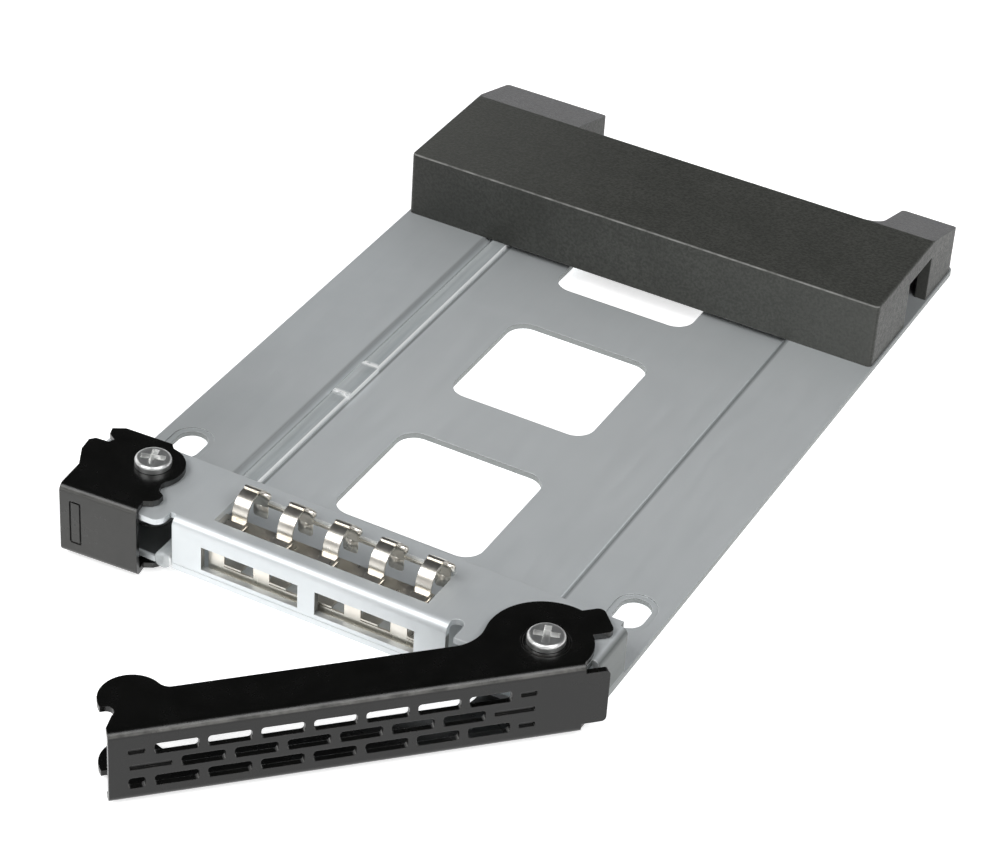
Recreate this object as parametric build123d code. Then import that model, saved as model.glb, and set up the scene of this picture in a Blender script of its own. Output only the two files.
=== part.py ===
"""Hot swap drive caddy for a 2.5 inch drive: folded tray, swinging lever, side latch and rear block.

Frame: origin midway between the two front drive slots, on the plane the drive rests on.
+X points to the lever's pivot, +Y to the rear, +Z up. The lever is modelled as it stands open.
Depths along Y are given from the outer face of the front wall, which lies at FRONT.
"""
import os
from math import atan2, cos, degrees, pi, radians, sin, sqrt, tan

from build123d import *

# Drive interface
slot_spacing = 61.72
slot_width = 4.0
slot_length = 5.8
slot_setback = 21.0
slot_rim = 0.7
slot_rim_depth = 0.12
rear_hole_pitch = 76.6

# Tray sheet
sheet = 0.8
tray_width = 70.0
tray_depth = 112.2
tray_corner = 1.2
side_strip_width = 12.2
channel_drop = 0.8
channel_setback = 9.8
window_width = 20.2
window_depth = 19.4
window_pitch = 29.3
window_setback = 20.2
window_corner = 2.6

# Front frame
frame_height = 6.6
flange_depth = 11.5
bend_radius = 1.2
wall_left_inset = 15.5
wall_right_inset = 17.7
tab_reach = 1.35
tab_width = 3.9
tab_corner = 1.4
relief_width = 0.8
relief_depth = 0.9
vent_height = 3.3
vent_sill = 0.7
vent_width = 13.2
vent_bar = 2.3
opening_margin_left = 4.3
opening_margin_right = 3.7
opening_front = 2.4
opening_back = 9.1
side_wall_front = 3.6
side_wall_back = 10.6
side_bend = 1.0

# Contact strip
strip_thickness = 0.25
strip_gap = 0.55
finger_count = 5
finger_pitch = 6.17
finger_shift = 0.35
finger_width = 2.05
finger_rise = 2.45
finger_front = 4.25
finger_back = 8.95
finger_step = 0.25
foot_arm = 0.3
ridge_depth = 0.4
ridge_height = 0.3
band_reach = 5.1
rail_height = 1.3
riser_width = 2.2
riser_shift = 1.3
tab_length = 2.3
tab_depth = 1.25
tab_height = 1.7

# Light pipe
pipe_diameter = 2.3
pipe_height = 1.3
pipe_below_seat = 0.1
pipe_clearance = 0.05
pipe_centre_height = 0.05
pipe_head_length = 5.0
pipe_overhang = 0.4
collar_setback = 40.8
collar_length = 7.5
collar_growth = 0.25

# Rear block
block_setback = 83.2
block_side_gap = 0.2
block_depth = 19.0
block_height = 9.5
block_wall = 1.6
foot_depth = 9.2
foot_drop = 2.6
left_foot_width = 16.0
right_foot_width = 8.0
foot_root_radius = 2.6
block_corner = 0.6
block_edge = 0.35
notch_setback = 11.3
notch_width = 7.8
notch_height = 6.9
boss_diameter = 5.6
rib_count = 3

# Pivots
lever_pivot_inset = 6.46
lever_pivot_depth = 2.7
latch_pivot_inset = 8.47
latch_pivot_depth = 6.77
pin_diameter = 3.8
pin_head_diameter = 6.4
pin_head_height = 0.6
running_clearance = 0.05
end_float = 0.05
sleeve_diameter = 5.0
spacer_diameter = 7.0
screw_head_diameter = 4.5
screw_head_height = 1.0
screw_diameter = 2.5
screw_length = 4.5
screw_recess = 3.0

# Folded channels
skin = 0.75
channel_gap = 0.15
channel_bottom_gap = 0.9
channel_bend = 0.9
channel_inner_bend = 0.3

# Lever, measured from its pivot with the lever closed
lever_open_angle = 44.5
lever_end_gap = 4.67
lever_face = 5.12
lever_bend_end = 3.2
lever_tab_end = 6.1
lever_tab_top = 6.35
lever_tab_bottom = 1.4
lever_back_edge = 1.3
head_radius = 3.75
head_setback = 3.6
head_lift = 0.5
head_root_radius = 1.5
hook_radius = 0.9
hook_depth = 1.35
hook_top = 0.4
hook_bottom = 3.9
boss_radius = 7.05
boss_inner_radius = 5.5
boss_root_radius = 5.0
tooth_reach = 8.15
tooth_back = 4.3
tooth_front = -0.1
tooth_corner = 0.9
ring_radius = 2.9
ring_width = 0.25
ring_depth = 0.12
vent_slot_length = 4.9
vent_slot_height = 1.5
vent_slot_corner = 0.42
vent_pitch = 5.87
vent_row_pitch = 2.25
vent_middle_height = 2.35
vent_last = 7.7
vent_margin = 3.0
mark_depth = 0.3
mark_height = 0.7
short_mark = 1.9
mark_gap = 1.0

# Latch, measured from its pivot with the latch square to the front
latch_rest_angle = 3.5
latch_face = 8.9
latch_face_left = 7.6
latch_face_right = 2.8
latch_back = 4.6
latch_boss_radius = 3.9
latch_hook_reach = 9.2
catch_reach = 4.1
catch_back = 4.8
catch_front = 6.4
thumb_mark_width = 1.6
thumb_mark_height = 6.2
thumb_mark_setback = 1.3

# Springs
spring_wire = 0.5
spring_sides = 6
spring_turns = 2.5
spring_clearance = 0.15
spring_leg = 5.0

FRONT = -slot_setback
REAR = FRONT + tray_depth
HALF = tray_width / 2
FLANGE_UNDER = frame_height - sheet
CHANNEL_BOTTOM = -sheet - channel_drop
SKIN_TOP = frame_height + channel_gap + skin
SKIN_BOTTOM = -sheet - channel_bottom_gap - skin
WALL_LEFT = -HALF + wall_left_inset
WALL_RIGHT = HALF - wall_right_inset
WALL_CENTRE = (WALL_LEFT + WALL_RIGHT) / 2
OPENING_LEFT = WALL_LEFT + opening_margin_left
OPENING_RIGHT = WALL_RIGHT - opening_margin_right
channel_width = tray_width - 2 * side_strip_width
block_width = tray_width - 2 * block_side_gap
LEVER_PIVOT = (HALF - lever_pivot_inset, FRONT + lever_pivot_depth)
LATCH_PIVOT = (latch_pivot_inset - HALF, FRONT + latch_pivot_depth)
lever_reach = LEVER_PIVOT[0] - LATCH_PIVOT[0] - lever_end_gap
head_centre = lever_reach - head_setback
vent_columns = 1 + int((lever_reach - vent_margin - vent_last - vent_slot_length / 2) / vent_pitch)
FINGERS = [
    (OPENING_LEFT + OPENING_RIGHT) / 2 + finger_shift + (index - (finger_count - 1) / 2) * finger_pitch
    for index in range(finger_count)]
HOLE_X = slot_spacing / 2
REAR_HOLE_Y = rear_hole_pitch
VENT_LEFT = WALL_CENTRE - vent_bar / 2 - vent_width
VENT_RIGHT = WALL_CENTRE + vent_bar / 2
PIPE_X = WALL_LEFT - pipe_clearance - pipe_diameter / 2
PIPE_TOP = -pipe_below_seat
PIPE_BOTTOM = PIPE_TOP - pipe_height


def block(x0, x1, y0, y1, z0, z1):
    """A box given by its limits."""
    return Pos((x0 + x1) / 2, (y0 + y1) / 2, (z0 + z1) / 2) * Box(x1 - x0, y1 - y0, z1 - z0)


def plate(face, z0, z1):
    """A flat outline in XY raised to a solid between two heights."""
    return extrude(Pos(0, 0, z0) * face, z1 - z0, dir=(0, 0, 1))


def outline(*points):
    """A closed face through corner points in XY."""
    return make_face(Polyline(*points, close=True))


def disc(x, y, radius, z0, z1):
    """An upright cylinder between two heights."""
    return Pos(x, y, (z0 + z1) / 2) * Cylinder(radius, z1 - z0)


def upright_edges(solid):
    return solid.edges().filter_by(Axis.Z)


def folded_front():
    """Floor front, front wall and flange as one bent strip, across the width of the front wall."""
    def strip(setback, inset, radius):
        box = block(WALL_LEFT, WALL_RIGHT, FRONT + setback, FRONT + flange_depth + inset,
                    -sheet + setback, frame_height - setback)
        front_edges = box.edges().filter_by(Axis.X).group_by(Axis.Y)[0]
        return fillet(front_edges, radius)
    return strip(0, 0, bend_radius) - strip(sheet, sheet, bend_radius - sheet)


def flange_left():
    """Flange beside the front wall, with a round tab under the latch."""
    edge = -HALF + side_bend
    tab_left = WALL_LEFT - relief_width - tab_width
    base = outline((edge, FRONT + 1.0), (WALL_LEFT, FRONT + 1.0),
                   (WALL_LEFT, FRONT + flange_depth), (edge, FRONT + flange_depth))
    tab = Pos(tab_left + tab_width / 2, FRONT + 0.5) * RectangleRounded(
        tab_width, 2 * tab_reach + 1.0, tab_corner)
    return plate(base + tab, FLANGE_UNDER, frame_height)


def nose_outline(edge, start_x, back):
    """Sheet round the lever's pivot: its front corner runs clear of the lever in every position."""
    px, py = LEVER_PIVOT
    nose = lever_pivot_depth + tab_reach
    turn = radians(lever_open_angle)
    tangent = (px + nose * sin(turn), py - nose * cos(turn))
    corner_y = tangent[1] + (edge - tangent[0]) * tan(turn)
    line = Polyline(tangent, (edge, corner_y), (edge, back), (start_x, back), (start_x, py - nose),
                    (px, py - nose))
    half = turn / 2
    arc = ThreePointArc((px, py - nose), (px + nose * sin(half), py - nose * cos(half)), tangent)
    return make_face(line + arc)


def flange_right():
    """Flange beside the front wall, with a round relief at the end of the bend."""
    back = FRONT + flange_depth
    start_x = WALL_RIGHT + relief_width + relief_depth
    face = nose_outline(HALF - side_bend, start_x, back)
    face += outline((WALL_RIGHT, FRONT + relief_depth), (start_x + 1, FRONT + relief_depth),
                    (start_x + 1, back), (WALL_RIGHT, back))
    relief = Pos(start_x - relief_depth, FRONT + relief_depth) * Circle(relief_depth)
    return plate(face - relief, FLANGE_UNDER, frame_height)


def floor_corner_cut():
    """What the floor loses at its front corner so that the lever can swing."""
    px, py = LEVER_PIVOT
    back = py + lever_pivot_depth
    keep = nose_outline(HALF, px - boss_radius, back)
    corner = outline((px, FRONT - 5), (HALF + 5, FRONT - 5), (HALF + 5, back), (px, back))
    return plate(corner - keep, -5, 1)


def side_wall(side):
    """Side wall bent down from the flange, standing on the edge of the floor."""
    y0, y1 = FRONT + side_wall_front, FRONT + side_wall_back
    inner_x = HALF - 3 * sheet
    wall = block(inner_x, HALF, y0, y1, -sheet, frame_height)
    outer_edges = wall.edges().filter_by(Axis.Y).group_by(Axis.X)[-1].sort_by(Axis.Z)
    wall = fillet(outer_edges[-1], side_bend)
    outer_edges = wall.edges().filter_by(Axis.Y).group_by(Axis.Z)[0].sort_by(Axis.X)
    wall = fillet(outer_edges[-1], sheet / 2)
    hollow = block(inner_x - 1, HALF - sheet, y0 - 1, y1 + 1, 0, FLANGE_UNDER)
    inner_edge = hollow.edges().filter_by(Axis.Y).group_by(Axis.X)[-1].sort_by(Axis.Z)[-1]
    wall -= fillet(inner_edge, side_bend - sheet)
    return wall if side > 0 else mirror(wall, Plane.YZ)


def floor():
    """Floor with a lowered middle, a pipe groove, three windows and the two drive slots."""
    middle = FRONT + tray_depth / 2
    sheet_flat = plate(Pos(0, middle) * Rectangle(tray_width, tray_depth), -sheet, 0)
    corners = upright_edges(sheet_flat).group_by(Axis.Y)[-1]
    body = fillet(corners, tray_corner) - floor_corner_cut()

    length = tray_depth - channel_setback
    centre = FRONT + channel_setback + length / 2

    def trough(width, depth, top, drop):
        """A pan with sloped sides that runs out at the rear edge."""
        face = Pos(0, centre + depth, top) * Rectangle(width, length + 2 * depth)
        return extrude(face, drop, dir=(0, 0, -1), taper=45)
    pan = trough(channel_width + 0.7, 0.35, -sheet, channel_drop)
    hollow = trough(channel_width, 0.0, 0, channel_drop)
    overrun = Pos(0, REAR + 5, -sheet) * Box(tray_width, 10, 4 * sheet)
    rear_pan = block(-channel_width / 2 - 0.35 + channel_drop, channel_width / 2 + 0.35 - channel_drop,
                     REAR - 6, REAR, CHANNEL_BOTTOM, -channel_drop)
    body = body + pan - overrun + rear_pan - hollow
    body -= block(-channel_width / 2 + channel_drop, channel_width / 2 - channel_drop,
                  REAR - 8, REAR + 1, -channel_drop, 1)

    groove_floor = PIPE_BOTTOM
    half_groove = pipe_diameter / 2 + pipe_clearance
    groove_front = FRONT + channel_setback
    body += block(PIPE_X - half_groove - sheet / 2, PIPE_X + half_groove + sheet / 2,
                  groove_front, REAR, groove_floor - sheet / 2, -channel_drop)
    body -= block(PIPE_X - half_groove, PIPE_X + half_groove,
                  groove_front + sheet / 2, REAR + 1, groove_floor, 1)
    body -= block(PIPE_X - half_groove, PIPE_X + half_groove,
                  FRONT - 1, groove_front + sheet, groove_floor, 1)

    for index in range(3):
        y = FRONT + window_setback + window_depth / 2 + index * window_pitch
        body -= plate(Pos(0, y) * RectangleRounded(window_width, window_depth, window_corner), -5, 1)
    for side in (-1, 1):
        slot = Pos(side * HOLE_X, 0) * Rot(0, 0, 90) * SlotOverall(slot_length, slot_width)
        rim = Pos(side * HOLE_X, 0) * Rot(0, 0, 90) * SlotOverall(
            slot_length + 2 * slot_rim, slot_width + 2 * slot_rim)
        body -= plate(slot, -5, 1) + plate(rim, -slot_rim_depth, 1)
        body -= disc(side * HOLE_X, REAR_HOLE_Y, screw_diameter / 2 + 0.3, -5, 1)
    return body


def tray_plate():
    body = floor() + folded_front() + flange_left() + flange_right()
    body += side_wall(-1) + side_wall(1)
    for left in (VENT_LEFT, VENT_RIGHT):
        body -= block(left, left + vent_width, FRONT - 1, FRONT + sheet + 0.1,
                      vent_sill, vent_sill + vent_height)
    body -= block(OPENING_LEFT, OPENING_RIGHT, FRONT + opening_front, FRONT + opening_back,
                  FLANGE_UNDER - 1, frame_height + 1)
    for x, y in (LEVER_PIVOT, LATCH_PIVOT):
        body -= disc(x, y, pin_diameter / 2, -5, frame_height + 1)
    return body


def ribbon(width, x, path):
    """A flat strip of the contact metal that follows a path in the YZ plane."""
    start = path @ 0
    section = Plane(origin=start, z_dir=path % 0, x_dir=(1, 0, 0))
    return Pos(x, 0, 0) * sweep(section * Rectangle(width, strip_thickness), path)


def finger_path():
    """From the band under the flange up through the opening, over the arch and down again."""
    radius = (finger_back - finger_front) / 2
    band_z = FLANGE_UNDER - strip_thickness / 2
    tongue_z = frame_height - strip_thickness
    shoulder_z = frame_height + finger_rise - radius
    front_y = FRONT + opening_front + strip_thickness
    arch_y = FRONT + finger_front
    back_y = FRONT + finger_back
    foot = FilletPolyline((0, front_y, band_z), (0, front_y, tongue_z - finger_step),
                          (0, front_y + 2 * finger_step + 0.4, tongue_z), (0, arch_y, tongue_z),
                          (0, arch_y, shoulder_z), radius=0.15)
    arch = ThreePointArc((0, arch_y, shoulder_z), (0, (arch_y + back_y) / 2, shoulder_z + radius),
                         (0, back_y, shoulder_z))
    tail = Line((0, back_y, shoulder_z), (0, back_y, band_z))
    return foot + arch + tail


def contact_strip():
    """Five fingers on a band under the flange, with risers and a rail behind the front wall."""
    half = strip_thickness / 2
    path = finger_path()
    left = FINGERS[0] - finger_width / 2
    right = FINGERS[-1] + finger_width / 2
    wall_y = FRONT + sheet + strip_gap
    back_y = FRONT + finger_back
    body = block(left - riser_shift, right, wall_y - half, wall_y + half, 0, rail_height)
    body += block(left - riser_shift, right, wall_y - half, FRONT + band_reach,
                  FLANGE_UNDER - strip_thickness, FLANGE_UNDER)
    body += block(left, right, back_y - half, back_y + half, FLANGE_UNDER, FLANGE_UNDER + 3 * half)
    foot_z = frame_height - 2 * strip_thickness - finger_step / 2
    ridge_y = FRONT + (finger_front + finger_back) / 2 + ridge_depth
    for x in FINGERS:
        body += ribbon(finger_width, x, path)
        body += block(x - finger_width / 2 - foot_arm, x + finger_width / 2 + foot_arm,
                      FRONT + opening_front + half, FRONT + finger_front - finger_step,
                      foot_z, foot_z + strip_thickness)
        body += block(x - finger_width / 2, x + finger_width / 2, ridge_y - ridge_depth / 2,
                      ridge_y + ridge_depth / 2, frame_height + finger_rise - half,
                      frame_height + finger_rise + ridge_height)
        riser_x = x - riser_shift
        edge = riser_x + riser_width / 2
        body += block(riser_x - riser_width / 2, edge, wall_y - half, wall_y + half, 0, FLANGE_UNDER)
        body += block(edge - 2 * half, edge + tab_length, wall_y - half, wall_y + tab_depth,
                      tab_height - strip_thickness, tab_height)
    return body


def light_pipe():
    """Clear rod in the groove, with a collar on its way and a round lens at the front."""
    half = pipe_diameter / 2
    x0, x1 = PIPE_X - half, PIPE_X + half
    tip = FRONT - pipe_overhang
    rod = block(x0, x1, tip + pipe_head_length / 2, REAR - sheet, PIPE_BOTTOM, PIPE_TOP)
    rod = fillet(rod.edges().filter_by(Axis.Y).group_by(Axis.Z)[-1], 0.4)
    lens = Pos(PIPE_X, tip + pipe_head_length / 2, pipe_centre_height) * Rot(90, 0, 0) * Cylinder(
        half, pipe_head_length)
    lens = fillet(lens.edges().filter_by(GeomType.CIRCLE).group_by(Axis.Y)[0], half / 3)
    collar = block(x0, x1 + collar_growth, FRONT + collar_setback, FRONT + collar_setback + collar_length,
                   -channel_drop, PIPE_TOP + pipe_below_seat)
    collar = fillet(collar.edges().filter_by(Axis.Y).group_by(Axis.Z)[-1], 0.2)
    return rod + lens + collar


def block_outline(inset):
    """Plan of the rear block: main bar and two feet with a filleted root beside the right one."""
    half = block_width / 2
    y0 = FRONT + block_setback
    y1 = y0 + block_depth
    y2 = y1 + foot_depth
    left = -half + left_foot_width
    right = half - right_foot_width
    r = foot_root_radius
    line = Polyline((right, y1 + r), (right, y2), (half, y2), (half, y0), (-half, y0), (-half, y2),
                    (left, y2), (left, y1), (right - r, y1))
    arc = ThreePointArc((right - r, y1), (right - r + r * sin(pi / 4), y1 + r - r * cos(pi / 4)),
                        (right, y1 + r))
    face = make_face(line + arc)
    return offset(face, -inset, kind=Kind.INTERSECTION) if inset else face


def rear_block():
    """Moulded housing, open underneath, with sloped feet, bosses, ribs and a side notch."""
    half = block_width / 2
    y0 = FRONT + block_setback
    y1 = y0 + block_depth
    y2 = y1 + foot_depth

    def sloped_top(lower):
        """Everything above the top face and the slope of the feet, lowered by the wall for the inside."""
        wedge = Plane.YZ * outline((y0 - 5, block_height - lower), (y1, block_height - lower),
                                   (y2 + 5, block_height - lower - foot_drop * (1 + 5 / foot_depth)),
                                   (y2 + 5, block_height + 9), (y0 - 5, block_height + 9))
        return extrude(wedge, half + 5, both=True)

    body = plate(block_outline(0), 0, block_height)
    corners = [e for e in upright_edges(body) if e.center().Y < y0 + 0.1 or e.center().Y > y2 - 0.1]
    body = fillet(corners, block_corner)
    body -= sloped_top(0)
    front_top = body.edges().filter_by(Axis.X).filter_by_position(
        Axis.Y, y0 - 0.1, y0 + 0.1).filter_by_position(Axis.Z, block_height - 0.1, block_height + 0.1)
    body = fillet(front_top, block_edge)
    inside = plate(block_outline(block_wall), -1, block_height)
    inside -= sloped_top(block_wall)
    body -= inside

    for index in range(rib_count):
        x = -half / 2 + index * half / 2
        rib = block(x - block_wall / 3, x + block_wall / 3, y0 + block_wall / 2, y1 - block_wall / 2,
                    block_height / 2, block_height - block_wall / 2)
        body += rib
    for side in (-1, 1):
        x = side * HOLE_X
        body += disc(x, REAR_HOLE_Y, boss_diameter / 2, 0, block_height - block_wall / 2)
        body -= disc(x, REAR_HOLE_Y, screw_diameter / 2, -1, block_height - 2 * block_wall)
    notch_y = y0 + notch_setback
    body -= block(half - 1.5 * block_wall, half + 1, notch_y, notch_y + notch_width, -1, notch_height)
    half_pipe = pipe_diameter / 2 + pipe_clearance
    body -= block(PIPE_X - half_pipe, PIPE_X + half_pipe, y0 - 1, y2 + 1, -1,
                  PIPE_TOP + pipe_clearance + pipe_below_seat)
    return body


def pan_screw(x, y, seat, length, upward=False):
    """Pan head screw with a cross recess; its head sits on the seat height."""
    radius = screw_head_diameter / 2
    head = disc(0, 0, radius, 0, screw_head_height)
    head = fillet(head.edges().filter_by(GeomType.CIRCLE).group_by(Axis.Z)[-1], screw_head_height * 0.45)
    arm = screw_recess * 0.28
    for turn in (0, 90):
        cross = block(-screw_recess / 2, screw_recess / 2, -arm / 2, arm / 2,
                      screw_head_height * 0.25, screw_head_height + 1)
        head -= Rot(0, 0, turn + 20) * cross
    screw = head + disc(0, 0, screw_diameter / 2, -length, 0)
    return Pos(x, y, seat) * (Rot(180, 0, 0) * screw if upward else screw)


def pivot_pin(pivot):
    """Shoulder pin from under the channel to its top, drilled for the screw."""
    x, y = pivot
    top = SKIN_TOP + end_float
    bottom = SKIN_BOTTOM - end_float
    pin = disc(x, y, pin_diameter / 2, bottom, top)
    pin += disc(x, y, pin_head_diameter / 2, bottom - pin_head_height, bottom)
    return pin - disc(x, y, screw_diameter / 2, top - screw_length, top + 1)


def pivot_sleeve(pivot):
    """Tube round the pin that holds floor and flange apart."""
    x, y = pivot
    return disc(x, y, sleeve_diameter / 2, 0, FLANGE_UNDER) - disc(x, y, pin_diameter / 2, -1, frame_height)


def pivot_spacer(pivot):
    """Washer between the floor and the lower side of the channel."""
    x, y = pivot
    ring = disc(x, y, spacer_diameter / 2, -sheet - channel_bottom_gap + end_float, -sheet)
    return ring - disc(x, y, pin_diameter / 2, -sheet - 2, 1)


def channel_cavity(face, left, right, back):
    """Space between the two sides of a folded channel, behind its face."""
    low, high = SKIN_BOTTOM + skin, SKIN_TOP - skin
    box = block(-left - 9, right + 9, -face + skin, back + 9, low, high)
    edges = box.edges().filter_by(Axis.X).group_by(Axis.Y)[0]
    return fillet(edges, channel_inner_bend)


def bend_channel(solid, face):
    """Round the two outer bends of a channel along its face."""
    edges = solid.edges().filter_by(Axis.X).filter_by_position(Axis.Y, -face - 0.01, -face + 0.01)
    heights = [e for e in edges if abs(e.center().Z - SKIN_TOP) < 0.01 or
               abs(e.center().Z - SKIN_BOTTOM) < 0.01]
    return fillet(heights, channel_bend)


def concave_root(centre, radius, edge_y, root_radius, side):
    """Fillet web between a round end and a straight back edge, on one side of the round end."""
    reach = radius + root_radius
    root_y = edge_y + root_radius
    root_x = centre[0] + side * sqrt(reach ** 2 - (root_y - centre[1]) ** 2)
    touch = (centre[0] + (root_x - centre[0]) * radius / reach,
             centre[1] + (root_y - centre[1]) * radius / reach)
    web = outline((root_x, edge_y), (centre[0], edge_y), touch)
    return web - Pos(root_x, root_y) * Circle(root_radius)


def hook_notch():
    """Notch in the head that the latch catches: round at its end, with a slanted mouth."""
    left = -lever_reach
    inner = left + hook_depth
    round_y = -hook_top - hook_radius
    mouth = outline((left - 2, -hook_top), (inner - hook_radius, -hook_top), (inner, round_y),
                    (inner - hook_radius * 0.3, round_y - hook_radius * 0.6), (left, -hook_bottom),
                    (left - 2, -hook_bottom))
    return mouth + Pos(inner - hook_radius, round_y) * Circle(hook_radius)


def lever_outline():
    """Plan of one side of the lever: arm, hook head, boss and cam tooth."""
    arm = outline((-lever_reach, -lever_face), (lever_bend_end, -lever_face), (lever_bend_end, 0),
                  (0, lever_back_edge), (-head_centre, lever_back_edge), (-head_centre, head_lift),
                  (-lever_reach, head_lift))
    head = Pos(-head_centre, head_lift) * Circle(head_radius)
    right_half = Pos(boss_radius, 0) * Rectangle(2 * boss_radius, 4 * boss_radius)
    front_cut = Pos(0, -boss_radius) * Rectangle(4 * boss_radius, 2 * boss_radius)
    boss = Circle(boss_radius) - front_cut + (Circle(boss_inner_radius) & right_half)
    below_face = Pos(0, -lever_face - boss_radius) * Rectangle(6 * boss_radius, 2 * boss_radius)
    tooth = Pos((tooth_reach + 4) / 2, (tooth_back + tooth_front) / 2) * RectangleRounded(
        tooth_reach - 4, tooth_back - tooth_front, tooth_corner)
    face = arm + head + boss + tooth
    face += concave_root((0, 0), boss_radius, lever_back_edge, boss_root_radius, -1)
    face += concave_root((-head_centre, head_lift), head_radius, lever_back_edge, head_root_radius, 1)
    return face - hook_notch() - below_face


def lever_vents():
    """Brick pattern of slots through the face, with half pierced marks where the rows end."""
    cuts = []
    y0, y1 = -lever_face - 1, -lever_face + skin + 0.2
    y_mark = -lever_face + mark_depth

    def slot(x0, x1, z, depth):
        height = vent_slot_height if depth == y1 else mark_height
        shape = Plane.XZ * Pos((x0 + x1) / 2, z) * RectangleRounded(
            x1 - x0, height, vent_slot_corner * height / vent_slot_height)
        return Pos(0, depth, 0) * extrude(shape, depth - y0)

    half = vent_slot_length / 2
    for row in (-1, 0, 1):
        z = vent_middle_height + row * vent_row_pitch
        shift = vent_pitch / 2 if row == 0 else 0
        columns = vent_columns - (1 if row == 0 else 0)
        centres = [-vent_last - shift - index * vent_pitch for index in range(columns)]
        cuts += [slot(x - half, x + half, z, y1) for x in centres]
        length = vent_slot_length - 0.2 if row == 0 else short_mark
        right = centres[0] + half + mark_gap
        left = centres[-1] - half - mark_gap
        cuts.append(slot(right, right + length, z, y_mark))
        cuts.append(slot(left - length, left, z, y1 if row == -1 else y_mark))
    return cuts


def lever():
    """Folded channel with its slotted face, turned to its open angle about the pivot."""
    body = plate(lever_outline(), SKIN_BOTTOM, SKIN_TOP)
    body = bend_channel(body, lever_face)
    body -= channel_cavity(lever_face, lever_reach, tooth_reach, boss_radius)
    tab = block(lever_bend_end - 0.5, lever_tab_end, -lever_face, -lever_face + skin,
                SKIN_BOTTOM + lever_tab_bottom, lever_tab_top)
    body += fillet(tab.edges().filter_by(Axis.Y).group_by(Axis.X)[-1], 0.6)
    for cut in lever_vents():
        body -= cut
    body -= disc(0, 0, pin_diameter / 2 + running_clearance, SKIN_BOTTOM - 1, SKIN_TOP + 1)
    ring = disc(0, 0, ring_radius, SKIN_TOP - ring_depth, SKIN_TOP + 1)
    ring -= disc(0, 0, ring_radius - ring_width, SKIN_TOP - 1, SKIN_TOP + 2)
    body -= ring
    x, y = LEVER_PIVOT
    return Pos(x, y, 0) * Rot(0, 0, lever_open_angle) * body


def latch_outline():
    """Plan of one side of the latch: side hooks, boss and the catch that faces the lever."""
    line = Polyline((-latch_face_left, -latch_face), (latch_face_right, -latch_face),
                    (latch_face_right - 0.2, -catch_front - 0.5), (catch_reach - 0.5, -catch_front),
                    (catch_reach, -catch_front + 0.6), (catch_reach, -catch_back),
                    (catch_reach - 0.9, -catch_back + 0.6), (latch_boss_radius * 0.72, -3.0),
                    (latch_boss_radius, 0), (0, latch_back), (-6.4, latch_back + 0.1),
                    (-7.9, 3.9), (-7.6, 2.8), (-6.5, 2.0), (-6.9, 1.3), (-8.6, 1.25),
                    (-latch_hook_reach, 0.6), (-9.0, -1.4), (-7.7, -4.2), close=True)
    return make_face(line) + Circle(latch_boss_radius)


def latch():
    """Folded channel with a thumb mark on its face, turned to its resting angle about the pivot."""
    body = plate(latch_outline(), SKIN_BOTTOM, SKIN_TOP)
    body = bend_channel(body, latch_face)
    body -= channel_cavity(latch_face, latch_hook_reach, catch_reach, latch_back)
    mark_x = -latch_face_left + thumb_mark_setback + thumb_mark_width / 2
    middle = (SKIN_TOP + SKIN_BOTTOM) / 2
    mark = Plane.XZ * Pos(mark_x, middle) * RectangleRounded(thumb_mark_width, thumb_mark_height, 0.3)
    rim = mark - Plane.XZ * Pos(mark_x, middle) * RectangleRounded(
        thumb_mark_width - 0.5, thumb_mark_height - 0.5, 0.1)
    body -= Pos(0, -latch_face + mark_depth * 0.7, 0) * extrude(rim, 2)
    body -= disc(0, 0, pin_diameter / 2 + running_clearance, SKIN_BOTTOM - 1, SKIN_TOP + 1)
    x, y = LATCH_PIVOT
    return Pos(x, y, 0) * Rot(0, 0, latch_rest_angle) * body


def torsion_spring(pivot, heading, hand):
    """Close coil round the sleeve with a leg towards the channel's face and one along the floor."""
    x, y = pivot
    radius = sleeve_diameter / 2 + spring_clearance + spring_wire / 2
    pitch = spring_wire * 1.3
    height = pitch * spring_turns
    low = (FLANGE_UNDER - height) / 2
    coil = Helix(pitch, height, radius, center=(0, 0, low))
    section = Plane(origin=coil @ 0, z_dir=coil % 0)
    profile = RegularPolygon(spring_wire / 2, spring_sides)
    wire = sweep(section * profile, coil, is_frenet=True)
    for end, sense in ((0, -1), (1, 1)):
        point = coil @ end
        along = (coil % end) * sense
        leg = Plane(origin=point, z_dir=along)
        wire += extrude(leg * profile, spring_leg)
    if hand < 0:
        wire = mirror(wire, Plane.YZ)
    return Pos(x, y, 0) * Rot(0, 0, heading) * wire


PIN_TOP = SKIN_TOP + end_float
nodes = {
    "tray_plate": tray_plate(),
    "contact_strip": contact_strip(),
    "light_pipe": light_pipe(),
    "rear_block": rear_block(),
    "block_screws": Compound(children=[
        pan_screw(side * HOLE_X, REAR_HOLE_Y, -sheet, screw_length, upward=True) for side in (-1, 1)]),
    "lever": lever(),
    "lever_pin": pivot_pin(LEVER_PIVOT),
    "lever_sleeve": pivot_sleeve(LEVER_PIVOT),
    "lever_spacer": pivot_spacer(LEVER_PIVOT),
    "lever_spring": torsion_spring(LEVER_PIVOT, 200, 1),
    "lever_screw": pan_screw(*LEVER_PIVOT, PIN_TOP, screw_length),
    "latch": latch(),
    "latch_pin": pivot_pin(LATCH_PIVOT),
    "latch_sleeve": pivot_sleeve(LATCH_PIVOT),
    "latch_spacer": pivot_spacer(LATCH_PIVOT),
    "latch_spring": torsion_spring(LATCH_PIVOT, 20, -1),
    "latch_screw": pan_screw(*LATCH_PIVOT, PIN_TOP, screw_length),
}

os.makedirs("parts", exist_ok=True)
for name, solid in nodes.items():
    export_step(solid, f"parts/{name}.step")
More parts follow.
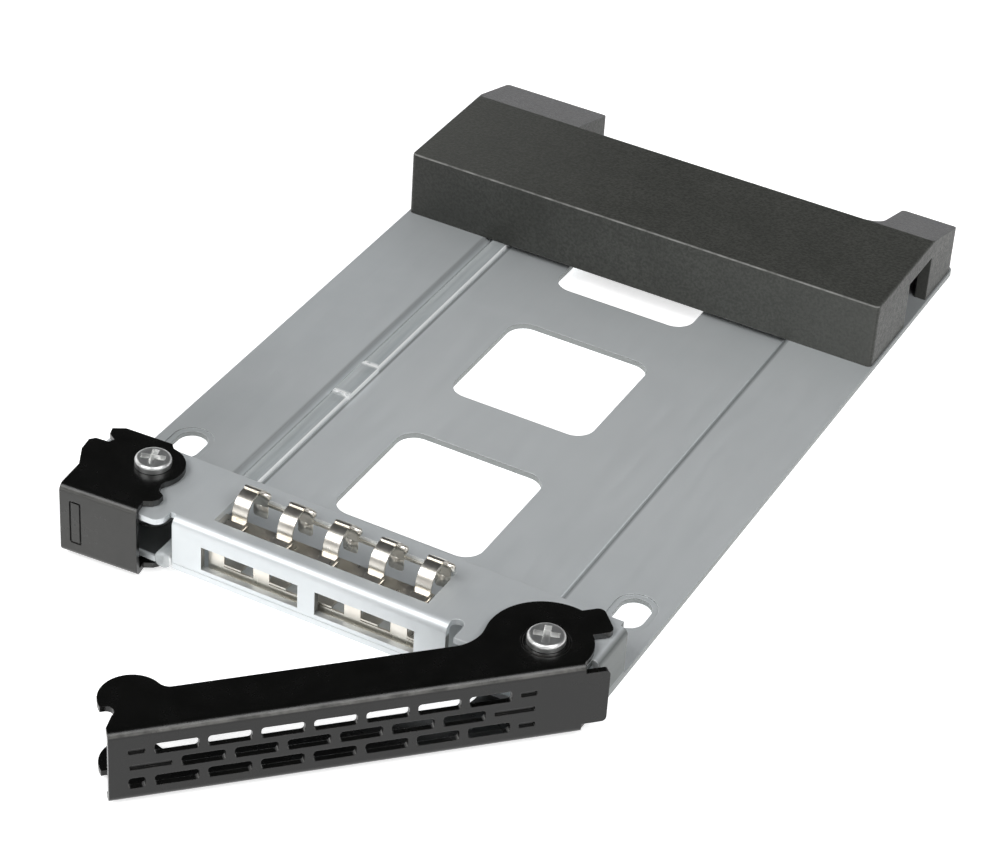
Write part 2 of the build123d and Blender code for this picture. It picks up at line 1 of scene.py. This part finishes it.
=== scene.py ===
"""Looks of the hot swap drive caddy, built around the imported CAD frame.

Lengths are in metres in the part's frame: +X to the lever's pivot, +Y to the rear block, +Z up
from the plane that the drive rests on. Colours are linear red, green and blue.
"""
from math import radians

import bmesh
import bpy
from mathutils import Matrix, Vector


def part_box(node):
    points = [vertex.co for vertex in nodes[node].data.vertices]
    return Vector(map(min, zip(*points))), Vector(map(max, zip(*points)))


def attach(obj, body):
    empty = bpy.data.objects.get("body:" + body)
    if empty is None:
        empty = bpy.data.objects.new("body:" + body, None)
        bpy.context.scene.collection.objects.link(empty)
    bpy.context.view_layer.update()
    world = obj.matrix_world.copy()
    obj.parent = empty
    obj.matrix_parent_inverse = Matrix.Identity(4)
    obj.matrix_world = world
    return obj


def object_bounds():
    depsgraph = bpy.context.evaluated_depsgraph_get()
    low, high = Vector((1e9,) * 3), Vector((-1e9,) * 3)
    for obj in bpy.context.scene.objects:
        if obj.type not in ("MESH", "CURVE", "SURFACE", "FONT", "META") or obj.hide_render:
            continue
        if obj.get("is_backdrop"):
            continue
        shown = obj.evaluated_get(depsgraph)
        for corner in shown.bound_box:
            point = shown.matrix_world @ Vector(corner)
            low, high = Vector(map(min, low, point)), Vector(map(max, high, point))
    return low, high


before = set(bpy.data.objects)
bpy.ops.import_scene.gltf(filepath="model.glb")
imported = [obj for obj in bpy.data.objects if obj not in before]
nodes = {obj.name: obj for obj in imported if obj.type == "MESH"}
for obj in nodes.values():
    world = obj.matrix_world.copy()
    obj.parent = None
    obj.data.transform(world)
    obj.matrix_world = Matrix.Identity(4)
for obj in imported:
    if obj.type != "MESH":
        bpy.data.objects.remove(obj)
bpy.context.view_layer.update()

# Camera at the photograph's viewing angle
CAMERA_AT = (0.14308, -0.26715, 0.23382)
CAMERA_TURN = (54.2518, -3.1869, 28.4336)
FOCAL_MM = 114.104
SENSOR_MM = 36.0
CLIP_START = 0.01

# Studio
LAMP_AIM = (0.0, 0.015, 0.0)
LAMPS = (  # name, place, side of the square, watts
    ("key_lamp", (-0.30, -0.62, 0.79), 0.6, 5.7),
    ("top_lamp", (0.60, -0.23, 0.77), 0.6, 5.4),
    ("side_lamp", (-0.80, 0.15, 0.50), 0.5, 1.2),
)
# Sine of the elevation and the world's colour there
HORIZON = (0.12, (0.92, 0.92, 0.92, 1))
ZENITH = (0.34, (0.042, 0.044, 0.046, 1))
FLOOR_HALF = 3.0
FLOOR_GLOW = 0.68

# Node settings that all materials share
NOISE_ROUGHNESS = 0.6
BEVEL_SAMPLES = 6
FOLD_SAMPLES = 8
EDGE_COSINE = 0.9125  # between true and rounded normal where an edge counts in full
LINE_CORE = 0.3  # share of a line's reach that has its full strength
SOFT_EDGE = 0.00012

# Places on the tray plate, whose front wall has its outer face at Y -0.021
WALL_BACK = -0.0202
WALL_BEND_BACK = -0.0165
WALL_FACE_LIMIT = -0.0185
FLANGE_BACK = -0.0092
FLOOR_TOP = 0.0003
VENT_SILL, VENT_HEAD = 0.0007, 0.0050
SIDE_WALL = 0.0336
MIDDLE_Y = 0.030
BLOCK_FRONT = 0.0625
FOLD_RIGHT, FOLD_LEFT = 0.02265, -0.02275
PIPE_FOLD = 0.00135  # from the light pipe's axis to the lines along it
CORNER_X, CORNER_Y, CORNER_Z = -0.0198, (-0.0207, -0.0128), (-0.0006, 0.0052)  # left front

# Places on the light pipe and the contact strip
COLLAR_ENDS = (0.0198, 0.0273)
FINGER_SHIFT, FINGER_PITCH = -0.00045, 0.00617
FINGER_CENTRES = tuple(FINGER_SHIFT + step * FINGER_PITCH for step in (-2, -1, 0, 1, 2))

# Stampings on each finger, in mm: outline in X and Z round its centre, then front and back in Y
EARS = ([(0.95, 8.74), (2.0, 8.70), (2.06, 8.50), (2.22, 8.42), (2.42, 8.52), (2.48, 8.8),
         (2.46, 9.14), (2.30, 9.30), (2.1, 9.34), (0.95, 9.34)], (-14.25, -13.72))
TONGUES = ([(-1.0, 5.95), (-1.0, 4.2), (-0.88, 3.95), (-0.65, 3.85), (0.65, 3.85), (0.88, 3.95),
            (1.0, 4.2), (1.0, 5.95)], (-12.16, -11.94))
STAMPING_EDGE = 0.00005
MM_PER_M = 1000


class Nodes:
    """Short form for building one node material."""

    def __init__(self, name):
        self.material = bpy.data.materials.new(name)
        self.material.use_nodes = True
        self.tree = self.material.node_tree
        self.tree.nodes.clear()
        output = self.add("ShaderNodeOutputMaterial")
        self.shader = self.add("ShaderNodeBsdfPrincipled")
        self.link(self.shader.outputs["BSDF"], output.inputs["Surface"])
        self.place = self.add("ShaderNodeTexCoord").outputs["Object"]

    def add(self, kind, **settings):
        node = self.tree.nodes.new(kind)
        for key, value in settings.items():
            setattr(node, key, value)
        return node

    def link(self, source, target):
        self.tree.links.new(source, target)

    def even(self, socket, value):
        """A value that is the same all over, on the shader's own socket."""
        self.shader.inputs[socket].default_value = value

    def noise(self, scale, detail, stretch=None):
        """Noise in object coordinates, stretched by three factors where they are given."""
        node = self.add("ShaderNodeTexNoise")
        node.inputs["Scale"].default_value = scale
        node.inputs["Detail"].default_value = detail
        node.inputs["Roughness"].default_value = NOISE_ROUGHNESS
        vector = self.place
        if stretch:
            mapping = self.add("ShaderNodeMapping")
            mapping.inputs["Scale"].default_value = stretch
            self.link(self.place, mapping.inputs["Vector"])
            vector = mapping.outputs["Vector"]
        self.link(vector, node.inputs["Vector"])
        return node.outputs["Fac"]

    def remap(self, value, low, high, out_low, out_high):
        """low..high as out_low..out_high, held at its ends."""
        node = self.add("ShaderNodeMapRange")
        self.link(value, node.inputs["Value"])
        node.inputs["From Min"].default_value = low
        node.inputs["From Max"].default_value = high
        node.inputs["To Min"].default_value = out_low
        node.inputs["To Max"].default_value = out_high
        return node.outputs["Result"]

    def vary(self, noise, low, high):
        """A value that drifts from low to high with a noise."""
        return self.remap(noise, 0.3, 0.7, low, high)

    def mix(self, factor, first, second):
        """Colour between two colours or sockets."""
        node = self.add("ShaderNodeMix", data_type="RGBA")
        self.link(factor, node.inputs["Factor"])
        for socket, value in ((node.inputs[6], first), (node.inputs[7], second)):
            if isinstance(value, tuple):
                socket.default_value = (*value, 1)
            else:
                self.link(value, socket)
        return node.outputs[2]

    def mottle(self, noise, first, second):
        """Colour that wanders from first to second with a noise."""
        return self.mix(self.remap(noise, 0.35, 0.65, 0, 1), first, second)

    def paint(self, tone, *layers):
        """Layers over a colour, each a mask and the layer's own colour."""
        for mask, colour in layers:
            tone = self.mix(mask, tone, colour)
        return tone

    def math(self, operation, first, second=None):
        """One sum on sockets or numbers."""
        node = self.add("ShaderNodeMath", operation=operation)
        for socket, value in zip(node.inputs, (first, second)):
            if isinstance(value, (int, float)):
                socket.default_value = value
            elif value is not None:
                self.link(value, socket)
        return node.outputs["Value"]

    def multiply(self, first, *others):
        for other in others:
            first = self.math("MULTIPLY", first, other)
        return first

    def most(self, first, *others):
        for other in others:
            first = self.math("MAXIMUM", first, other)
        return first

    def magnitude(self, value):
        return self.math("ABSOLUTE", value)

    def distance(self, value, centre):
        return self.magnitude(self.math("SUBTRACT", value, centre))

    def split(self, vector):
        """X, Y and Z of a vector."""
        parts = self.add("ShaderNodeSeparateXYZ")
        self.link(vector, parts.inputs["Vector"])
        return [parts.outputs[axis] for axis in "XYZ"]

    def position(self):
        """X, Y and Z of the point in the part's frame."""
        return self.split(self.place)

    def facing(self):
        """X, Y and Z of the surface's normal."""
        return self.split(self.add("ShaderNodeNewGeometry").outputs["Normal"])

    def below(self, value, limit, soft):
        """1 where value is under limit, 0 above it."""
        return self.remap(value, limit - soft, limit + soft, 1.0, 0.0)

    def above(self, value, limit, soft):
        """1 where value is over limit, 0 below it."""
        return self.remap(value, limit - soft, limit + soft, 0.0, 1.0)

    def line(self, value, centre, reach, strength=1.0):
        """A soft line where value is near centre."""
        return self.remap(self.distance(value, centre), reach * LINE_CORE, reach, strength, 0.0)

    def rounded(self, radius):
        """The normal with edges rounded to a radius."""
        bevel = self.add("ShaderNodeBevel", samples=BEVEL_SAMPLES)
        bevel.inputs["Radius"].default_value = radius
        return bevel.outputs["Normal"]

    def edges(self, radius):
        """1 near an edge, 0 on flat faces, from the angle of the true to the rounded normal."""
        dot = self.add("ShaderNodeVectorMath", operation="DOT_PRODUCT")
        self.link(self.rounded(radius), dot.inputs[0])
        self.link(self.add("ShaderNodeNewGeometry").outputs["Normal"], dot.inputs[1])
        return self.remap(dot.outputs["Value"], EDGE_COSINE, 1.0, 1.0, 0.0)

    def wear_and_highlight(self, radius, patches):
        """Edges lightened in patches, partly wear and partly a painted edge highlight."""
        return self.multiply(self.edges(radius), patches)

    def hidden(self, distance, low, high):
        """1 deep inside folds of the same piece, 0 on open faces."""
        shade = self.add("ShaderNodeAmbientOcclusion", samples=FOLD_SAMPLES, only_local=True)
        shade.inputs["Distance"].default_value = distance
        return self.remap(shade.outputs["AO"], low, high, 1.0, 0.0)

    def skin(self, tone, rough, height, strength, depth, radius=SOFT_EDGE):
        """Colour, roughness and bumps on top of softly rounded edges; ends the material."""
        bump = self.add("ShaderNodeBump")
        bump.inputs["Strength"].default_value = strength
        bump.inputs["Distance"].default_value = depth
        self.link(height, bump.inputs["Height"])
        self.link(self.rounded(radius), bump.inputs["Normal"])
        for socket, source in (("Base Color", tone), ("Roughness", rough),
                               ("Normal", bump.outputs["Normal"])):
            self.link(source, self.shader.inputs[socket])
        return self.material


def grey_sheet():
    """Satin plated sheet, faintly mottled, with rolling grain, and painted light and shade: dark
    cut faces, lines and fold interiors in painted shade, a painted shadow before the rear block
    and in the left front corner, a painted highlight across the plate's centre and a dark painted
    reflection on the side walls.
    """
    m = Nodes("tray_grey_sheet")
    m.even("Metallic", 0.62)
    x, y, z = m.position()
    normal_x, normal_y, normal_z = m.facing()
    pipe_low, pipe_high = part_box("light_pipe")
    pipe_x = (pipe_low[0] + pipe_high[0]) / 2
    grain = m.noise(700, 3.0, (1.0, 0.12, 1.0))

    # Masks of the painted places, which paint light and shade onto the sheet besides wear; a
    # number at the end of one is its strength
    behind_wall = m.above(y, WALL_BEND_BACK, 0.0004)
    on_floor = m.below(z, FLOOR_TOP, 0.0001)
    # painted highlight: the plate lighter across its centre, fading towards the front, back and
    # left
    middle_highlight = m.multiply(m.remap(m.distance(y, MIDDLE_Y), 0.006, 0.042, 1, 0),
                        m.remap(x, -0.030, -0.010, 0.0, 0.7))
    # painted shade: the plate's front left darker, fading towards the right and back
    front_left_shade = m.multiply(m.remap(x, -0.032, -0.016, 0.42, 0), m.remap(y, 0.002, 0.03, 1, 0),
                            m.below(z, 0.003, 0.001))
    # painted shadow: upward faces darker just in front of the rear block, more on the left
    block_shadow = m.multiply(m.remap(y, 0.048, BLOCK_FRONT, 0, 0.38),
                            m.remap(x, -0.03, 0.03, 1, 0.6), m.above(normal_z, 0.5, 0.2))
    # painted shade: the front wall's outer face a little darker
    wall_face_shade = m.multiply(m.below(normal_y, -0.6, 0.2), m.below(y, WALL_FACE_LIMIT, 0.0005), 0.3)
    # wear and painted highlight: lighter edges in patches, except on the floor behind the front
    # wall
    wear_and_highlight = m.wear_and_highlight(0.0002, m.multiply(
        m.remap(m.noise(420, 4.0), 0.45, 0.62, 0.1, 0.6),
        m.math("SUBTRACT", 1.0, m.multiply(on_floor, behind_wall))))
    # painted shade: darker cut faces of the openings in the floor
    upright = m.below(m.magnitude(normal_z), 0.45, 0.15)
    cut_edge_shade = m.multiply(upright, on_floor, behind_wall, 0.9)
    # painted shade: darker cut faces round the vents in the front wall
    across_wall = m.below(m.magnitude(normal_y), 0.5, 0.15)
    vent_edge_shade = m.multiply(across_wall, m.below(y, WALL_BACK, 0.0001),
                            m.above(z, VENT_SILL, 0.0002), m.below(z, VENT_HEAD, 0.0002), 0.85)
    # painted shade: dark lines along the floor's folds and along both sides of the light pipe
    folds = [m.multiply(m.line(x, centre, reach, strength), on_floor,
                        m.above(y, FLANGE_BACK, 0.0006))
             for centre, reach, strength in (
                 (FOLD_RIGHT, 0.0006, 0.8), (FOLD_LEFT, 0.0005, 0.45),
                 (pipe_x - PIPE_FOLD, 0.0003, 0.75), (pipe_x + PIPE_FOLD, 0.0003, 0.75))]
    # painted dark reflection: the side walls' outer faces much darker
    side_wall_reflection = m.multiply(m.above(m.magnitude(normal_x), 0.55, 0.25), m.above(z, 0.0002, 0.0003),
                            m.above(m.magnitude(x), SIDE_WALL, 0.0002), 0.95)
    # painted shadow: the gap in the left front corner, under the flange, nearly black
    corner = m.multiply(m.below(x, CORNER_X, 0.0008), m.above(y, CORNER_Y[0], 0.0001),
                        m.below(y, CORNER_Y[1], 0.0006), m.above(z, CORNER_Z[0], 0.0001),
                        m.below(z, CORNER_Z[1], 0.0002), 0.93)

    tone = m.paint(
        m.mottle(m.noise(90, 3.0), (0.803, 0.845, 0.862), (0.848, 0.885, 0.901)),
        (m.vary(grain, 0, 0.16), (0.72, 0.75, 0.765)),
        (middle_highlight, (0.95, 0.985, 0.995)),
        (front_left_shade, (0.42, 0.44, 0.44)),
        (block_shadow, (0.38, 0.40, 0.41)),
        (wall_face_shade, (0.5, 0.52, 0.53)),
        (wear_and_highlight, (0.9, 0.91, 0.91)),
        (cut_edge_shade, (0.20, 0.21, 0.205)),
        (vent_edge_shade, (0.17, 0.165, 0.145)),
        *((fold, (0.22, 0.235, 0.24)) for fold in folds),
        (side_wall_reflection, (0.10, 0.11, 0.106)),
        # painted shade: darker deep inside the sheet's own folds, such as under the flange
        (m.hidden(0.006, 0.12, 0.62), (0.07, 0.078, 0.08)),
        (corner, (0.03, 0.032, 0.032)))
    return m.skin(tone, m.vary(grain, 0.44, 0.50), m.noise(5200, 2.0), 0.12, 0.00003)


def black_paint(name, front_reflection_strength):
    """Satin black paint with orange peel, edges lightened by wear and painted highlight, painted
    highlights along the folds, and a painted reflection on the front faces.
    """
    m = Nodes(name)
    m.even("Specular IOR Level", 0.42)
    cloud = m.noise(260, 4.0)
    _, normal_y, normal_z = m.facing()
    # painted highlight: lighter lines along the folds between top and face
    bend_highlight = m.multiply(m.line(normal_z, 0.52, 0.30),
                       m.remap(m.noise(500, 3.0), 0.35, 0.6, 0.45, 0.95))
    # painted reflection: front faces lighter in patches, up to the given strength
    front_reflection = m.multiply(m.below(normal_y, -0.7, 0.15), m.vary(cloud, front_reflection_strength * 0.8, front_reflection_strength))
    tone = m.paint(
        m.mottle(cloud, (0.0016, 0.0016, 0.0013), (0.0028, 0.0028, 0.0024)),
        # wear and painted highlight: lighter edges in patches
        (m.wear_and_highlight(0.00016, m.remap(m.noise(900, 5.0), 0.5, 0.66, 0.0, 0.55)), (0.06, 0.054, 0.05)),
        (bend_highlight, (0.15, 0.148, 0.14)),
        (front_reflection, (0.06, 0.06, 0.056)))
    rough = m.most(m.vary(cloud, 0.23, 0.29), m.multiply(m.hidden(0.0012, 0.35, 0.75), 0.85))
    return m.skin(tone, rough, m.noise(2600, 3.0), 0.20, 0.00004)


def black_plastic():
    """Moulded black plastic with an eroded grain, edges lightened by wear and painted highlight,
    and painted light and shade on the front face, top and feet.
    """
    m = Nodes("block_black_plastic")
    m.even("Specular IOR Level", 0.22)
    grain = m.noise(2600, 4.0)
    _, normal_y, normal_z = m.facing()
    x = m.position()[0]
    front = m.below(normal_y, -0.8, 0.1)
    # painted shade: the front face darker towards its left end
    front_left_shade = m.multiply(front, m.remap(x, -0.034, 0.006, 0.55, 0.0))
    # painted highlight: the front face lighter towards its right end and the top lighter towards
    # its left end
    painted_sheen = m.most(m.multiply(front, m.remap(x, 0.004, 0.034, 0.0, 0.4)),
                   m.multiply(m.above(normal_z, 0.9, 0.05), m.remap(x, -0.034, -0.004, 0.45, 0.0)))
    # painted light: the feet's sloping faces, which face up and back, lighter
    slope_highlight = m.multiply(m.above(normal_y, 0.14, 0.05), m.above(normal_z, 0.5, 0.1), 0.9)
    # painted highlight: a light line along the rounded front top edge
    front_edge_highlight = m.multiply(m.line(normal_z, 0.6, 0.34), m.below(normal_y, -0.2, 0.1),
                            m.remap(m.noise(600, 3.0), 0.35, 0.6, 0.35, 0.95))
    tone = m.paint(
        m.mottle(m.noise(160, 3.0), (0.050, 0.0515, 0.046), (0.062, 0.0635, 0.057)),
        (m.remap(grain, 0.38, 0.62, 0.0, 0.7), (0.028, 0.029, 0.026)),
        # wear and painted highlight: lighter edges in patches
        (m.wear_and_highlight(0.00026, m.remap(m.noise(700, 4.0), 0.4, 0.62, 0.25, 0.8)), (0.17, 0.17, 0.165)),
        (front_left_shade, (0.016, 0.0165, 0.015)),
        (painted_sheen, (0.105, 0.107, 0.100)),
        (slope_highlight, (0.105, 0.105, 0.108)),
        (front_edge_highlight, (0.26, 0.26, 0.25)))
    return m.skin(tone, m.vary(grain, 0.36, 0.5), grain, 0.6, 0.00012, 0.00022)


def bare_metal(name, low, high, rough):
    """Bare bright metal with drawn grain, its colour between low and high."""
    m = Nodes(name)
    m.even("Metallic", 1.0)
    grain = m.noise(1500, 2.0, (1.0, 0.3, 0.3))
    tone = m.mottle(m.noise(350, 2.0), low, high)
    return m.skin(tone, m.vary(grain, rough, rough + 0.06), grain, 0.05, 0.00001, 0.00006)


def clear_plastic():
    """Clear moulded rod: see-through, with painted highlights that whiten and thicken its right
    side, edges and collar ends.
    """
    m = Nodes("pipe_clear_plastic")
    m.even("Specular IOR Level", 0.9)
    flow = m.noise(900, 2.0, (1.0, 0.06, 1.0))
    y = m.position()[1]
    # painted glints: white bands at both ends of the collar
    collar = m.most(*(m.line(y, end, 0.0007) for end in COLLAR_ENDS))
    glint = m.multiply(collar, m.remap(m.noise(1300, 2.0), 0.36, 0.5, 0.25, 1.0))
    # painted highlight: the rod's right side, its edges and the collar glints white and nearly
    # opaque
    right = m.above(m.facing()[0], 0.70, 0.10)
    bright = m.most(m.multiply(m.edges(0.00025), 0.6), glint, right)
    m.link(m.remap(bright, 0, 1, 0.55, 0.95), m.shader.inputs["Alpha"])
    tone = m.paint(m.mottle(flow, (0.56, 0.60, 0.61), (0.68, 0.72, 0.73)),
                   (m.multiply(bright, 0.95), (0.97, 0.98, 0.98)))
    return m.skin(tone, m.vary(flow, 0.08, 0.16), flow, 0.15, 0.00003)


def nylon():
    """Off white washer plastic."""
    m = Nodes("washer_nylon_white")
    grain = m.noise(2400, 3.0)
    tone = m.mottle(grain, (0.62, 0.61, 0.56), (0.7, 0.69, 0.64))
    return m.skin(tone, m.vary(grain, 0.45, 0.55), grain, 0.2, 0.00003)


def dress(material, *names):
    for name in names:
        for slot in nodes[name].material_slots:
            slot.material = material


def stamped(name, profile, ends, material):
    """One piece of five equal stampings, one per finger."""
    body = bmesh.new()
    for centre in FINGER_CENTRES:
        front, back = ([body.verts.new((centre + x / MM_PER_M, y / MM_PER_M, z / MM_PER_M))
                        for x, z in profile] for y in ends)
        body.faces.new(front)
        body.faces.new(back[::-1])
        for index in range(len(profile)):
            follow = (index + 1) % len(profile)
            body.faces.new((front[follow], front[index], back[index], back[follow]))
    bmesh.ops.recalc_face_normals(body, faces=body.faces[:])
    bmesh.ops.bevel(body, geom=body.edges[:], offset=STAMPING_EDGE, segments=2, affect="EDGES",
                    clamp_overlap=True)
    mesh = bpy.data.meshes.new(name)
    body.to_mesh(mesh)
    body.free()
    for face in mesh.polygons:
        face.use_smooth = True
    piece = bpy.data.objects.new(name, mesh)
    bpy.context.collection.objects.link(piece)
    mesh.materials.append(material)
    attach(piece, "tray")


def studio_floor():
    """Pale floor that shows white to the camera, to gloss and through glass, and keeps shadows."""
    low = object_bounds()[0][2]
    mesh = bpy.data.meshes.new("studio_floor")
    mesh.from_pydata([(x * FLOOR_HALF, y * FLOOR_HALF, low)
                      for x, y in ((-1, -1), (1, -1), (1, 1), (-1, 1))], [], [(0, 1, 2, 3)])
    floor = bpy.data.objects.new("studio_floor", mesh)
    bpy.context.collection.objects.link(floor)
    m = Nodes("studio_floor_white")
    m.even("Roughness", 0.9)
    m.even("Specular IOR Level", 0.1)
    m.even("Emission Color", (1, 1, 1, 1))
    speck = m.remap(m.noise(300, 2.0), 0.4, 0.6, 0, 1)
    m.link(m.mix(speck, (0.90, 0.90, 0.90), (0.91, 0.91, 0.91)), m.shader.inputs["Base Color"])
    path = m.add("ShaderNodeLightPath")
    seen = m.most(*(path.outputs[f"Is {ray} Ray"] for ray in ("Camera", "Glossy", "Transmission")))
    m.link(m.remap(seen, 0, 1, 0, FLOOR_GLOW), m.shader.inputs["Emission Strength"])
    mesh.materials.append(m.material)
    floor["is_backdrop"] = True


def studio_light():
    """World that is bright round the horizon and dim above, with three soft lamps."""
    world = bpy.data.worlds.new("studio_world")
    bpy.context.scene.world = world
    world.use_nodes = True
    tree = world.node_tree
    background = tree.nodes["Background"]
    place = tree.nodes.new("ShaderNodeTexCoord")
    split = tree.nodes.new("ShaderNodeSeparateXYZ")
    ramp = tree.nodes.new("ShaderNodeValToRGB")
    tree.links.new(place.outputs["Generated"], split.inputs["Vector"])
    tree.links.new(split.outputs["Z"], ramp.inputs["Fac"])
    tree.links.new(ramp.outputs["Color"], background.inputs["Color"])
    for stop, (position, colour) in zip(ramp.color_ramp.elements, (HORIZON, ZENITH)):
        stop.position, stop.color = position, colour

    for name, at, side, watts in LAMPS:
        data = bpy.data.lights.new(name, "AREA")
        data.shape = "SQUARE"
        data.size = side
        data.energy = watts
        lamp = bpy.data.objects.new(name, data)
        bpy.context.collection.objects.link(lamp)
        lamp.location = at
        direction = lamp.location.copy()
        direction.xyz = [aim - start for aim, start in zip(LAMP_AIM, at)]
        lamp.rotation_euler = direction.to_track_quat("-Z", "Y").to_euler()


def camera():
    data = bpy.data.cameras.new("photo_camera")
    data.lens = FOCAL_MM
    data.sensor_width = SENSOR_MM
    data.clip_start = CLIP_START
    viewer = bpy.data.objects.new("photo_camera", data)
    bpy.context.collection.objects.link(viewer)
    viewer.location = CAMERA_AT
    viewer.rotation_euler = [radians(turn) for turn in CAMERA_TURN]
    bpy.context.scene.camera = viewer


contact_metal = bare_metal("contact_bare_metal", (0.72, 0.68, 0.61), (0.80, 0.77, 0.71), 0.27)
dress(grey_sheet(), "tray_plate")
# the second number is the strength of the painted reflection on the front faces
dress(black_paint("lever_black_paint", 0.0), "lever")
dress(black_paint("latch_black_paint", 0.7), "latch")
dress(black_plastic(), "rear_block")
dress(contact_metal, "contact_strip")
dress(clear_plastic(), "light_pipe")
dress(bare_metal("screw_plated_steel", (0.80, 0.81, 0.80), (0.90, 0.90, 0.89), 0.36),
      "block_screws", "lever_pin", "lever_sleeve", "lever_screw", "latch_pin", "latch_sleeve",
      "latch_screw")
dress(bare_metal("spring_wire_steel", (0.45, 0.45, 0.44), (0.6, 0.6, 0.58), 0.25),
      "lever_spring", "latch_spring")
dress(nylon(), "lever_spacer", "latch_spacer")
stamped("finger_ears", *EARS, contact_metal)
stamped("finger_tongues", *TONGUES, contact_metal)

studio_floor()
studio_light()
camera()
bpy.context.scene.view_settings.view_transform = "Standard"
